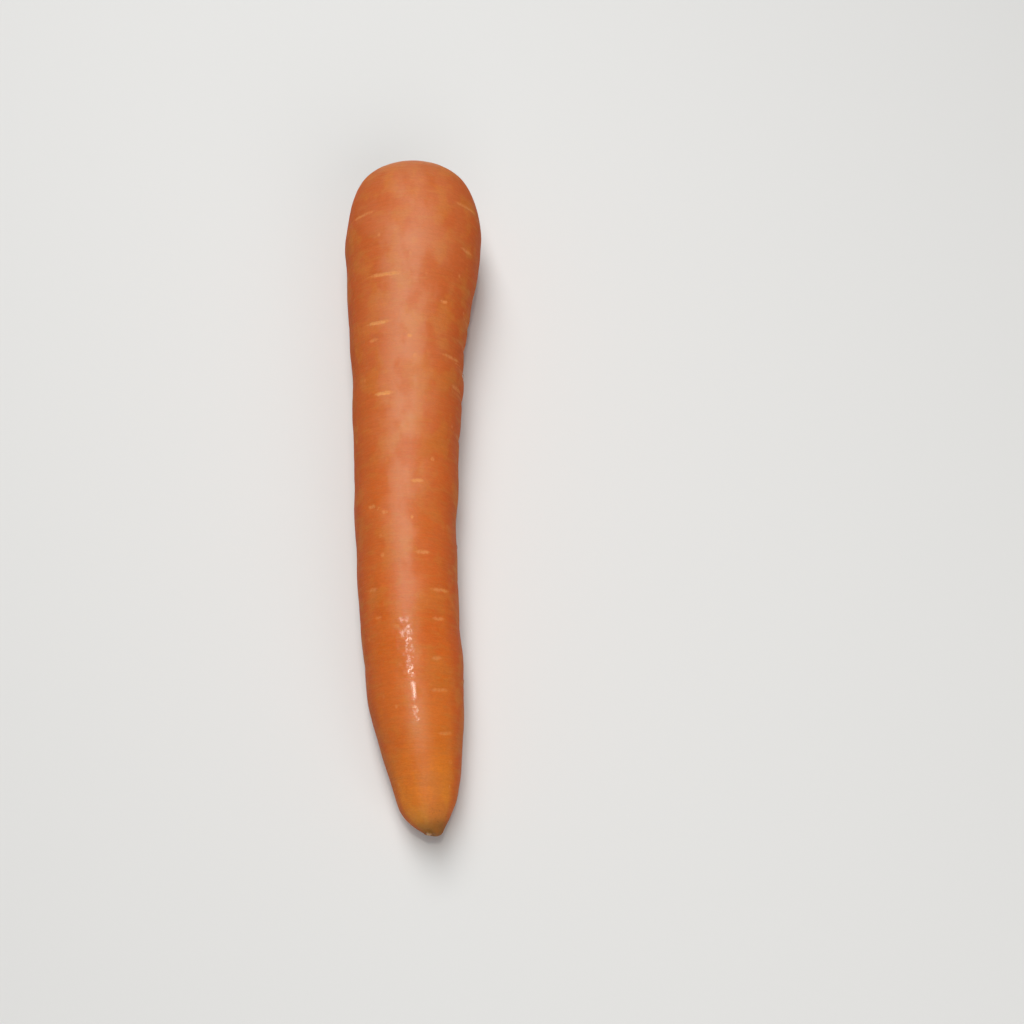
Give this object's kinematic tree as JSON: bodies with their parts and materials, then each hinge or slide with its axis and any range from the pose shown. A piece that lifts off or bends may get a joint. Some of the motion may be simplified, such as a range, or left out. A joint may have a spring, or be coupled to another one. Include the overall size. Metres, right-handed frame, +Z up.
{
  "type": "carrot",
  "caption": "Topped, washed carrot root with a broad shoulder and a blunt tip, lying on its side on two small flat spots.",
  "frame": {"origin": "on the surface that the carrot lies on, under the middle of its bounding box", "axes": "+Y along the root towards the crown, +X to the right when the tip points to the viewer, +Z up"},
  "size_m": [0.0416, 0.2014, 0.0411],
  "materials": {
    "carrot_skin": "washed carrot skin: deep orange, soft moist sheen, pale lenticel scars across it, tan tip, green-brown crown"
  },
  "bodies": {
    "root": {"carrot": "carrot_skin"}
  },
  "joints": []
}
